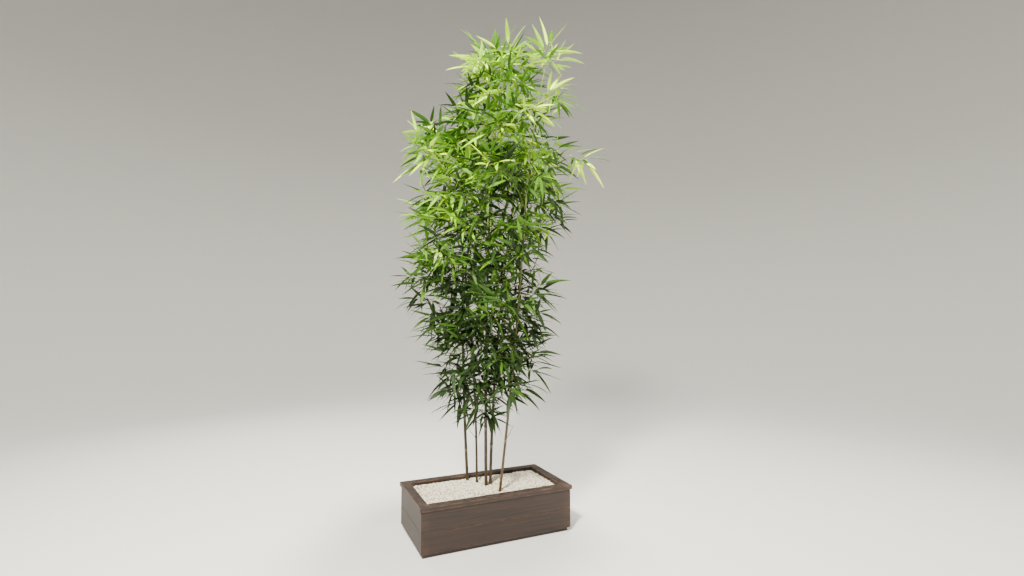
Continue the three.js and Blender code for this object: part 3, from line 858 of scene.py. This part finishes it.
def add_tube(store, line, radii, sides, height):
    """Puts a tube with the others of its kind. radii are at its two ends, or all along it."""
    if len(radii) < len(line):
        radii = np.linspace(*radii, len(line))
    store.append((rings(line, radii, sides), tube_faces(len(line), sides), height))


def add_tubes(name, store, material, slot):
    """One piece of all the tubes of a kind, for what the masses of foliage stand for."""
    points, faces, heights = [], [], []
    for made, tube, height in store:
        faces += [[len(points) + corner for corner in face] for face in tube]
        points += made.tolist()
        heights += [height] * len(made)
    plain = np.zeros(len(points))
    piece = add_piece(name, points, faces, material, slot, height=heights, bloom=plain, scar=plain)
    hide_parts(*foliage)


def crown_share(point):
    """The height of a place as a share of the crown's, 0 at its foot and 1 at its top."""
    return (point[2] - SOIL_TOP - CROWN[0][0]) / (CROWN[-1][0] - CROWN[0][0])


branches = []
for name, node, side, out, up in BARE_TWIGS:
    start = culm_point(CULMS[name], node_share(CULMS[name], node))
    away = crown_heading(math.radians(side)) * out
    stem = (start, start + away * BARE_KNEE + UP * up * (1 - BARE_KNEE), start + away + UP * up)
    add_tube(branches, stem_line(stem, BARE_STATIONS), BARE_RADII, TWIG_SIDES, 0)
for mass in masses:
    at_tip = mass["node"].endswith("tip")
    thick = min(STEM_RADIUS, mass["radius"]) * (1 if at_tip else STEM_FINE)
    shares = np.linspace(0, 1, STEM_STATIONS)
    swells = 1 + (JOINT_SWELL - 1) * (np.arange(STEM_STATIONS) % JOINT_STATIONS == 1)
    swells[0] = 1 if at_tip else COLLAR
    line = stem_line(mass["stem"], STEM_STATIONS)
    add_tube(branches, line, between(thick, STEM_END, shares) * swells, STEM_SIDES, crown_share(line[0]))
branch_cane = cane_material("branch cane", paint(64, 50, 24), paint(78, 84, 32), paint(112, 138, 50))
add_tubes("branches", branches, branch_cane, "culm")

# Twigs
# Thin green twigs on alternate sides of each branch, and finer ones that fill the space between
# them. They leave the branch forwards and bend out to where their leaves find light.
TWIG_STATIONS = 5
TWIG_RADII = (1.1, 0.8)
TWIG_ARCH = 0.08
FINE_SEED = 77
FINE_TRIED = 36000
FINE_FROM = 300
FINE_TO = 2700
FINE_WIDE = 620
FINE_APART = (78, 99)
# Height over the soil, and how far apart fine twigs end there as a share of the usual
FINE_CROWDING = [(350, 0.72), (900, 0.8), (1500, 1), (2050, 0.96), (2300, 0.78), (2700, 0.66)]
FINE_THINNING = 2
FINE_NEAR = 26
FINE_FAR = (250, 90)
FINE_LEAN = 0.6
FINE_ENDS = (0.1, 0.97)
FINE_KNEE = 0.5
FINE_OUTWARD = 0.55
FINE_DROOP = 0.1
FINE_INSET = 68
FINE_RADII = (0.95, 0.6)
TIER_HEIGHT = 360
TIER_SWING = 2.2
TIER_LEAST = 0.68


def arched(start, forward, reach, t):
    """The place at t, from 0 to 1, along a twig that rises a little between its ends."""
    return start + forward * t + UP * TWIG_ARCH * reach * 4 * t * (1 - t)


shoots = []
for start, end in twigs:
    line = arched(start, end - start, norm(end - start), np.linspace(0, 1, TWIG_STATIONS)[:, None])
    add_tube(shoots, line, TWIG_RADII, TWIG_SIDES, crown_share(end))

# Places for finer twigs to reach, spread through the crown's outline in tiers of fuller and thinner
# leaf, each with its nearest stem
rng = np.random.default_rng(FINE_SEED)
lowest, highest = (-FINE_WIDE, -FINE_WIDE, SOIL_TOP + FINE_FROM), (FINE_WIDE, FINE_WIDE, SOIL_TOP + FINE_TO)
tried = rng.uniform(lowest, highest, (FINE_TRIED, 3))
bearing = np.arctan2(tried @ ACROSS, tried @ BROAD)
tier = tried[:, 2] / TIER_HEIGHT * 2 * math.pi + TIER_SWING * np.sin(bearing) + np.sin(2 * bearing)
fullness = between(TIER_LEAST, 1, (1 + np.sin(tier)) / 2)
room = np.maximum(crown_reach(tried[:, 2] - SOIL_TOP, bearing) * fullness - FINE_INSET, 1)
share_out = np.hypot(tried[:, 0], tried[:, 1]) / room
tried, thinning = tried[share_out < 1], share_out[share_out < 1] ** FINE_THINNING
apart, far = between(*FINE_APART, thinning), between(*FINE_FAR, thinning)
apart *= np.interp(tried[:, 2] - SOIL_TOP, *zip(*FINE_CROWDING))
gaps = stem_gaps(tried)
owners = gaps.min(-1).argmin(1)
fine_twigs = []
reached = [end for _, end in twigs] + [mass["stem"][2] for mass in masses]
for spot, least, most, own, gap in zip(tried, apart, far, owners, gaps):
    piece = gap[own].argmin()
    away = gap[own, piece]
    if not FINE_NEAR < away < most or min(norm(np.array(reached) - spot, axis=1)) < least:
        continue
    stem = masses[own]["stem"]
    run = stem_to[own, piece] - stem_from[own, piece]
    nearest = (piece + np.clip((spot - stem_from[own, piece]) @ run / (run @ run), 0, 1)) / STEM_STEPS
    t = np.clip(nearest - FINE_LEAN * away / norm(stem[2] - stem[0]), *FINE_ENDS)
    start = stem_point(stem, t)
    reach = norm(spot - start)
    outward = unit(spot * (1, 1, 0))
    forward = unit((spot - start) / reach * (1 - FINE_OUTWARD) + outward * FINE_OUTWARD - UP * FINE_DROOP)
    knee = spot - forward * FINE_KNEE * reach
    line = stem_line((start, knee, spot), TWIG_STATIONS)
    if not clear_of_culms(line[1], spot, LIMB_MARGIN):
        continue
    reached.append(spot)
    fine_twigs.append((line, forward, reach, masses[own]["culm"]))
    add_tube(shoots, line, FINE_RADII, TWIG_SIDES, crown_share(spot))

# Leaves
# Long-pointed blades on short stalks, in two rows to a twiglet with one at its end, like the rays of
# a star. A blade is folded a little along its rib, and droops.
TWIGLET_SIDES = 4
TWIGLET_STATIONS = 4
TWIGLET_RADII = (0.7, 0.45)
TWIGLET_SHARE = 0.24
TIP_SPRAY = (2, 5)
FINE_SPRAY = (6, 10)
FINE_SPRAY_LENGTH = (190, 235)
SIDE_SPRAY = (2, 5)
SIDE_SPRAY_FROM = (0.45, 0.75)
SIDE_SPRAY_NEEDS = 100
SPRAY_ROLL = 50
RAYS_FROM = 0.25
RAY_YAW = (94, 24)
RAY_JITTER = 14
RAY_PITCH = (-36, 32)
END_RAY_PITCH = 0.4
LOW_LEAF = 0.84
BLADE_LENGTH = (0.6, 0.82)
BLADE_WIDTH = (0.125, 0.16)
BLADE_SAG = (0.0, 0.6)
BLADE_FOLD = (8, 24)
BLADE_TWIST = 30
BLADE_ROLL = 45
# Places along a blade, and its width there as a share of the widest
BLADE = [(0, 0.07), (0.045, 0.09), (0.11, 0.62), (0.22, 0.95), (0.36, 1), (0.54, 0.85), (0.72, 0.58),
         (0.88, 0.27), (1, 0.015)]
SAG_POWER = 1.2
# Each green, and how much painted light the place of its sprays has at least. The greens are
# painted light and shade: lighter ones for lit leaves high and outside, darker ones for shaded
# leaves low and inside, and pale for painted highlights.
TONES = {
    "lime": (paint(192, 232, 40), 0.9),
    "bright": (paint(130, 180, 28), 0.71),
    "fresh": (paint(80, 124, 24), 0.5),
    "mid": (paint(54, 86, 22), 0.3),
    "deep": (paint(33, 54, 17), -math.inf),
    "pale": (paint(170, 206, 88), math.inf),
}
# How much painted light a spray's place gets: more higher up and further out, with painted shade and light
# scattered at random among the sprays, widest at the top
TONE_LOW = -0.09
TONE_HEIGHT = 0.9
TONE_OUTWARD = 0.3
TONE_JITTER = (0.26, 0.46)
# How often, times the height in the crown, a spray gets the pale green of a painted highlight
PAINTED_HIGHLIGHT_SHARE = 0.07
OUTWARD = 500

leaves = {tone: [] for tone in TONES}
box_low, box_high = (np.array(corner) / MM for corner in cad_box)


def painted_light_tone(point, owner):
    """Painted light and shade by spray: greens lighter high and far out, darker low and in, now and then a
    pale highlight.
    """
    height = crown_share(point)
    outward = norm((point - culm_point(owner, 0.5))[:2]) / OUTWARD
    # Painted light: more higher up and further out, then scattered at random
    light = TONE_LOW + TONE_HEIGHT * height + TONE_OUTWARD * outward
    light += rng.uniform(-1, 1) * between(*TONE_JITTER, height)
    if rng.uniform() < PAINTED_HIGHLIGHT_SHARE * height:
        return "pale"
    return next(tone for tone, (_, least) in TONES.items() if light > least)


def grow_spray(knot, direction, side, length, owner, counts):
    """A twiglet and its leaves, length from the twiglet's foot to the tip of its last leaf."""
    lift = unit(np.cross(side, direction))
    reach = length * TWIGLET_SHARE
    line = arched(knot, direction * reach, reach, np.linspace(0, 1, TWIGLET_STATIONS)[:, None])
    add_tube(shoots, line, TWIGLET_RADII, TWIGLET_SIDES, crown_share(knot))
    tone = painted_light_tone(knot, owner)
    count = int(rng.integers(*counts))
    for leaf in range(count):
        share = leaf / (count - 1)
        yaw = (1 if leaf % 2 else -1) * between(*RAY_YAW, share) if share < 1 else 0
        yaw = math.radians(yaw + rng.uniform(-RAY_JITTER, RAY_JITTER))
        pitch = math.radians(rng.uniform(*RAY_PITCH)) * (1 if share < 1 else END_RAY_PITCH)
        ray = turned_from(direction, side, lift, yaw, pitch)
        root = arched(knot, direction * reach, reach, between(RAYS_FROM, 1, share))
        blade = length * rng.uniform(*BLADE_LENGTH) * between(LOW_LEAF, 1, share)
        across = rolled(ray, rng.uniform(-BLADE_ROLL, BLADE_ROLL))
        tip = root + ray * blade
        if (tip < box_low).any() or (tip > box_high).any() or not clear_of_culms(root, tip, 0):
            continue
        width, sag = blade * rng.uniform(*BLADE_WIDTH), rng.uniform(*BLADE_SAG)
        fold = math.radians(rng.uniform(*BLADE_FOLD))
        twist = math.radians(rng.uniform(-BLADE_TWIST, BLADE_TWIST))
        leaves[tone].append((root, ray, across, blade, width, sag, fold, twist, rng.uniform(-1, 1)))


for axis in axes:
    grow_spray(*axis, TIP_SPRAY)
for line, forward, reach, owner in fine_twigs:
    side = rolled(forward, rng.uniform(-SPRAY_ROLL, SPRAY_ROLL))
    grow_spray(line[-1], forward, side, rng.uniform(*FINE_SPRAY_LENGTH), owner, FINE_SPRAY)
    if reach > SIDE_SPRAY_NEEDS:
        knot = line_point(line, rng.uniform(*SIDE_SPRAY_FROM))
        side = rolled(forward, rng.uniform(-SPRAY_ROLL, SPRAY_ROLL))
        aside = unit(forward + side * rng.choice([-1, 1]))
        grow_spray(knot, aside, side, rng.uniform(*FINE_SPRAY_LENGTH), owner, SIDE_SPRAY)


def leaf_green(name, base):
    """A leaf's green: a pale rib, fine veins along it, a dry tip, and a duller underside."""

    def shade(red, green, blue, added=0.0):
        """The leaf's green with each part of it multiplied, and a little white added."""
        return tuple(min(part * share + added, 1) for part, share in zip(base, (red, green, blue))) + (1,)

    material, tree, shader = new_material(name, base, 0.5)
    tint, across = ramp(read(tree, "tint"), -1.0, 1.0), read(tree, "blade")
    clouds, rib = mottle(tree, 20, 2.0), ramp(across, 0.12, 0.02)
    dry = times(ramp(read(tree, "along"), 0.92, 1.0), tint)
    green = mix(tint, shade(0.55, 0.6, 0.7), shade(1.2, 1.25, 1.2))
    green = mix(times(clouds, 0.4), green, shade(1.5, 1.25, 1.2))
    green = mix(times(rib, 0.5), green, shade(2.0, 1.6, 2.0, 0.02))
    green = mix(times(dry, 0.6), green, paint(176, 156, 92))
    behind = add_node("NewGeometry", {}, tree).outputs["Backfacing"]
    underside = mix(0.5, green, shade(1.25, 1.25, 2.0, 0.012))
    veins = calculate("SINE", times(across, 60.0), 0.5)
    dull = plus(times(behind, 0.14), 0.42)
    feed(shader, {
        "Base Color": mix(behind, green, underside),
        "Roughness": plus(times(clouds, 0.16), dull),
        "Specular IOR Level": 0.2,
        "Normal": relief(plus(times(veins, 0.25), rib), 0.15),
    })
    return material


def blade_mesh(roots, rays, sides, lengths, widths, sags, folds, twists):
    """Every leaf as rows of three points: edge, rib and edge."""
    t, shape = np.array(BLADE).T
    steps = np.diff(t, prepend=0)
    heading = unit(rays[:, None] - UP * (sags[:, None] * t**SAG_POWER)[..., None])
    centre = roots[:, None] + np.cumsum(heading * (lengths[:, None] * steps)[..., None], axis=1)
    across = unit(sides[:, None] - heading * (sides[:, None] * heading).sum(-1, keepdims=True))
    over = np.cross(across, heading)
    turn = (twists[:, None] * t)[..., None]
    across, over = across * np.cos(turn) + over * np.sin(turn), over * np.cos(turn) - across * np.sin(turn)
    half = (widths[:, None] * shape / 2)[..., None]
    raised = over * half * np.sin(folds)[:, None, None]
    spread = across * half * np.cos(folds)[:, None, None]
    return np.stack([centre - spread + raised, centre, centre + spread + raised], axis=2)


rows = len(BLADE)
blade_faces = np.array([[3 * row + k, 3 * row + k + 1, 3 * row + k + 4, 3 * row + k + 3]
                        for row in range(rows - 1) for k in range(2)])
# One piece of leaves to each green, so that each spray's painted light or shade is its piece's plain base
# colour
for tone, (base, _) in TONES.items():
    *forms, tints = (np.array(values) for values in zip(*leaves[tone]))
    count = len(tints)
    faces = blade_faces[None] + np.arange(count)[:, None, None] * rows * 3
    along = np.tile(np.repeat([t for t, _ in BLADE], 3), count)
    piece = add_piece(f"leaves_{tone}", blade_mesh(*forms).reshape(-1, 3), faces.reshape(-1, 4).tolist(),
                      leaf_green(f"{tone} leaf", base), "foliage", crease=60,
                      blade=np.tile([1, 0, 1], count * rows), along=along, tint=np.repeat(tints, rows * 3))
    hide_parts(*foliage)
shoot_green = cane_material("shoot green", paint(104, 112, 48), paint(120, 142, 60), paint(150, 176, 78))
add_tubes("twigs", shoots, shoot_green, "foliage")

# Floor
# A plain pale studio floor in one sweep. It is level under the trough, and curves up out of sight
# on every side.
FLOOR_REACH = (4, 14)
FLOOR_RISE = 15
FLOOR_CURVE = 3
FLOOR_SIDES = 96
FLOOR_BENDS = 20

shares = np.linspace(0, 1, FLOOR_BENDS)
middle = np.outer(FLOOR_RISE * shares**FLOOR_CURVE, UP)
points = rings(middle, between(*FLOOR_REACH, shares), FLOOR_SIDES).tolist()
faces = [face[::-1] for face in tube_faces(FLOOR_BENDS, FLOOR_SIDES)[:-1]]
mesh = bpy.data.meshes.new("studio_floor")
mesh.from_pydata(points, [], faces)
mesh.shade_smooth()
mesh.materials.append(new_material("studio floor", paint(232, 230, 224), 0.8)[0])
new_object("studio_floor", mesh)

# Light
# Soft studio light: a warm lamp over the crown from the left, one from straight above, and weak,
# larger ones from the right and from behind. A pale sky fills the shadows.
SKY = 0.26


def add_lamp(name, place, aim, size, power, tint):
    lamp = bpy.data.lights.new(name, "AREA")
    lamp.shape, lamp.size, lamp.energy, lamp.color = "DISK", size, power, tint
    holder = new_object(name, lamp)
    holder.location = place
    away = np.array(place) - UP * aim
    tilt = math.atan2(math.hypot(away[0], away[1]), away[2])
    holder.rotation_euler = (tilt, 0, math.atan2(away[1], away[0]) + math.pi / 2)


add_lamp("key", (-2.4, -2.8, 4.4), 1.9, 0.7, 840, (1.0, 0.96, 0.86))
add_lamp("overhead", (0.6, 0.2, 6.2), 1.5, 0.9, 520, (1.0, 0.98, 0.9))
add_lamp("fill", (3.6, -2.4, 2.2), 1.2, 3.0, 60, (0.92, 0.96, 1.0))
add_lamp("back", (-1.8, 3.6, 3.0), 1.6, 2.0, 80, (0.95, 1.0, 0.95))
world = bpy.data.worlds.new("studio")
world.use_nodes = True
feed(world.node_tree.nodes["Background"], {"Color": paint(226, 230, 234), "Strength": SKY})
bpy.context.scene.world = world

# Camera
# It looks at the crown's broad side, a little to the left of the trough's front. It stands at the
# height of the lower branches and is tilted up a little.
VIEW_AWAY = 3.09
VIEW_ASIDE = 0.158
EYE = 1.24
TILT = 3.1
LENS = 18.2

camera = new_object("camera", bpy.data.cameras.new("camera"))
camera.location = -ACROSS * VIEW_AWAY + BROAD * VIEW_ASIDE + UP * EYE
camera.rotation_euler = (math.radians(90 + TILT), 0, CROWN_TURN)
camera.data.lens = LENS
camera.data.clip_end = 100
bpy.context.scene.camera = camera
